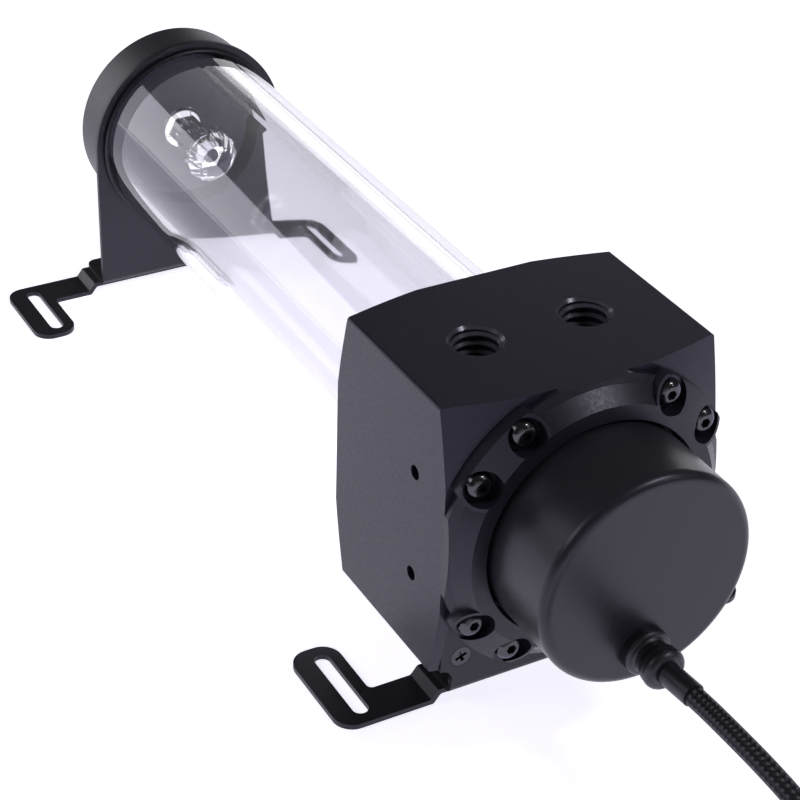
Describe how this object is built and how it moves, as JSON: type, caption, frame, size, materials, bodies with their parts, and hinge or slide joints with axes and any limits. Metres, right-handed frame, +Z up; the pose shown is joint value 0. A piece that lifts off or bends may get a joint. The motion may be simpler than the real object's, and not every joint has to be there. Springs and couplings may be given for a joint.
{
  "type": "coolant pump with tube reservoir",
  "caption": "Liquid-cooling pump on a square block with top ports, a clear screwed-in tube reservoir, an end cap with a light plug, and slotted bracket feet.",
  "frame": {"origin": "on the floor, centre of the four mounting slots", "axes": "+X along the tube towards the pump, +Y to the block's side without the two small holes, +Z up through the ports"},
  "size_m": [0.4322, 0.1256, 0.093],
  "materials": {
    "block_plastic": "fine turned satin, very dark grey",
    "clear_acrylic": "clear, polished",
    "seal_rubber": "smooth black rubber",
    "black_sheet": "black satin coating on steel sheet",
    "black_screw": "black oxide",
    "black_ring": "fine turned satin, very dark grey",
    "moulded_plastic": "moulded, off-white",
    "bearing_steel": "polished",
    "magnet": "dark grey magnet",
    "core_steel": "stacked laminations",
    "copper_wire": "enamelled copper wire",
    "board": "green board",
    "black_can": "satin black drawn can",
    "shrink_sleeve": "semi-gloss shrink tube",
    "cable_braid": "black braid",
    "connector_plastic": "moulded black"
  },
  "bodies": {
    "housing": {"pump_block": "block_plastic", "reservoir_tube": "clear_acrylic", "tube_front_oring": "seal_rubber", "tube_rear_oring": "seal_rubber", "rear_bracket_plate": "black_sheet", "rear_foot_bar": "black_sheet", "rear_bar_rivets": "black_screw", "front_bracket_plate": "black_sheet", "front_foot_bar": "black_sheet", "front_bar_rivets": "black_screw", "plate_screws": "black_screw", "retaining_ring": "black_ring", "ring_screws": "black_screw", "pump_flange": "moulded_plastic", "pump_oring": "seal_rubber", "bearing_post": "bearing_steel", "bearing_ball": "bearing_steel", "stator_core": "core_steel", "stator_coils": "copper_wire", "controller_board": "board", "pump_can": "black_can", "cable_grommet": "seal_rubber", "cable_sleeve": "shrink_sleeve", "pump_cable": "cable_braid", "cable_coil": "cable_braid", "cable_tail": "cable_braid", "power_connector": "connector_plastic"},
    "rotor": {"impeller": "moulded_plastic", "rotor_magnet": "magnet"},
    "cap": {"end_cap": "block_plastic", "end_cap_oring": "seal_rubber", "light_plug": "clear_acrylic", "light_plug_oring": "seal_rubber"}
  },
  "joints": [
    {"name": "impeller_spin", "type": "hinge", "parent": "housing", "child": "rotor", "pos_m": [0.12905, 0, 0.053], "axis": [1, 0, 0], "continuous": true},
    {"name": "cap_unscrew", "type": "slide", "parent": "housing", "child": "cap", "axis": [-1, 0, 0], "range_m": [0, 0.04]}
  ]
}
